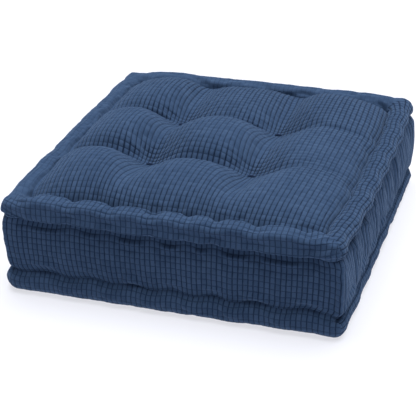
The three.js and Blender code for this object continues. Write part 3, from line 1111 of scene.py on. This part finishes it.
def twine():
    """Waxed blue tufting thread, twisted from finer ones."""
    n = Material("blue_twine", (0.04, 0.07, 0.15), 0.75)
    place = n.add("ShaderNodeTexCoord").outputs["Object"]
    turn = n.add("ShaderNodeMapping", {"Vector": place, "Rotation": (0.4, 0.6, 0.9)})
    wound = {"Vector": turn.outputs["Vector"], "Scale": 260.0, "Distortion": 1.5}
    twist = n.add("ShaderNodeTexWave", wound)
    hairs = n.noise(2500, 2, 0.7, place)
    mix = n.math("MULTIPLY_ADD", twist.outputs["Fac"], 0.6, n.math("MULTIPLY", hairs, 0.4))
    n.feed(Base_Color=n.blend(mix, (0.005, 0.012, 0.035), (0.02, 0.04, 0.095)))
    n.feed(Roughness=n.math("MULTIPLY_ADD", hairs, 0.15, 0.65))
    n.bump(mix, 0.6, 0.0004)
    n.set(Specular_IOR_Level=0.1)
    return n.material


def studio_floor():
    """A dim floor that glows enough to look white, with soft shadows."""
    n = Material("studio_floor", (0.9, 0.9, 0.9), 0.7)
    n.feed(Base_Color=n.blend(n.noise(3, 2, 0.5), (0.26, 0.27, 0.3), (0.27, 0.28, 0.31)))
    n.set(Specular_IOR_Level=0.1, Emission_Color=(0.95, 0.95, 1, 1), Emission_Strength=0.7)
    return n.material


# ---- Putting the pieces on the frame ----


def attach(piece, material, nodes):
    piece.data.materials.append(material)
    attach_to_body(piece, "root")
    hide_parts(*nodes)


def make_cushion():
    places, ring, paths = simulate_cover()
    cloth = cover_cloth()
    fill = fibre("fibre_filling", (0.62, 0.61, 0.58), (0.86, 0.85, 0.82))
    stuffing = fibre("roll_wadding", (0.58, 0.56, 0.52), (0.82, 0.8, 0.75))
    thread = twine()
    for node, piece in make_cover(places, ring, paths).items():
        attach(piece, cloth, [node])
    attach(make_filling(places), fill, ["fibre_filling"])
    for level in ("top", "bottom"):
        for index, side in enumerate(SIDES):
            name = f"wadding_{level}_{side}"
            piece = make_wadding(name, places, PART_ROWS[f"{level}_roll"], index)
            attach(piece, stuffing, [f"{level}_roll_wadding_{side}"])
            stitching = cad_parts[f"{level}_roll_stitching_{side}"]
            for slot in stitching.material_slots:
                slot.material = thread
    for name, box in TUFTS.items():
        attach(make_tuft(f"twine_{name}", box), thread, [name])


def look(target, position, roll):
    """Rotation of something at position that looks at the target, turned about its view."""
    back = (Vector(position) - Vector(target)).normalized()
    turn = back.to_track_quat("Z", "Y").to_matrix().to_4x4()
    return Matrix.Translation(position) @ turn @ Matrix.Rotation(math.radians(roll), 4, "Z")


CAMERA_PLACE = (0.5677, -1.6302, 0.9812)
CAMERA_TARGET = (0.0005, -0.0655, 0.0749)
CAMERA_ROLL = -2.5  # degrees
CAMERA_LENS = 108.3


def make_camera():
    camera = new_object("camera", bpy.data.cameras.new("camera"))
    camera.data.lens = CAMERA_LENS
    camera.data.sensor_width = 36
    camera.data.clip_start, camera.data.clip_end = 0.05, 50
    camera.matrix_world = look(CAMERA_TARGET, CAMERA_PLACE, CAMERA_ROLL)
    bpy.context.scene.camera = camera


SUN_DIRECTION = (0.12, 0.42, 2.4)
SUN_SPREAD = 62  # degrees
SUN_POWER = 5.0
HORIZON, ZENITH = (0.55, 0.575, 0.61), (0.03, 0.036, 0.04)
DUSK = (0.13, 0.26)  # heights between which the first turns into the second, as sines
FLOOR_HALF = 12.0  # metres


def make_sun():
    """Even light from a wide source overhead, a little to the back."""
    data = bpy.data.lights.new("overhead", "SUN")
    data.angle = math.radians(SUN_SPREAD)
    data.energy = SUN_POWER
    new_object("overhead", data).matrix_world = look((0, 0, 0), SUN_DIRECTION, 0)


def studio_walls():
    """A world that is pale near the horizon, like a studio's walls, and dark above."""
    world = bpy.data.worlds.new("studio")
    world.use_nodes = True
    n = Nodes(world.node_tree)
    around = n.add("ShaderNodeTexCoord").outputs["Generated"]
    height = n.add("ShaderNodeSeparateXYZ", {"Vector": around}).outputs["Z"]
    colour = n.blend(n.step(height, *DUSK), HORIZON, ZENITH)
    n.tree.links.new(colour, n.tree.nodes["Background"].inputs["Color"])
    return world


def make_studio():
    corners = np.array([(-1, -1, 0), (1, -1, 0), (1, 1, 0), (-1, 1, 0)]) * FLOOR_HALF
    floor = plain_object("studio_floor", corners / MM, [(0, 1, 2, 3)])
    floor.data.materials.append(studio_floor())
    floor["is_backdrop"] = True
    make_sun()
    bpy.context.scene.world = studio_walls()
    bpy.context.scene.view_settings.view_transform = "Standard"


make_camera()
make_cushion()
make_studio()

boxes = {"cad_box": cad_box, "visual_box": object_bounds()}
{name: [list(corner) for corner in box] for name, box in boxes.items()}
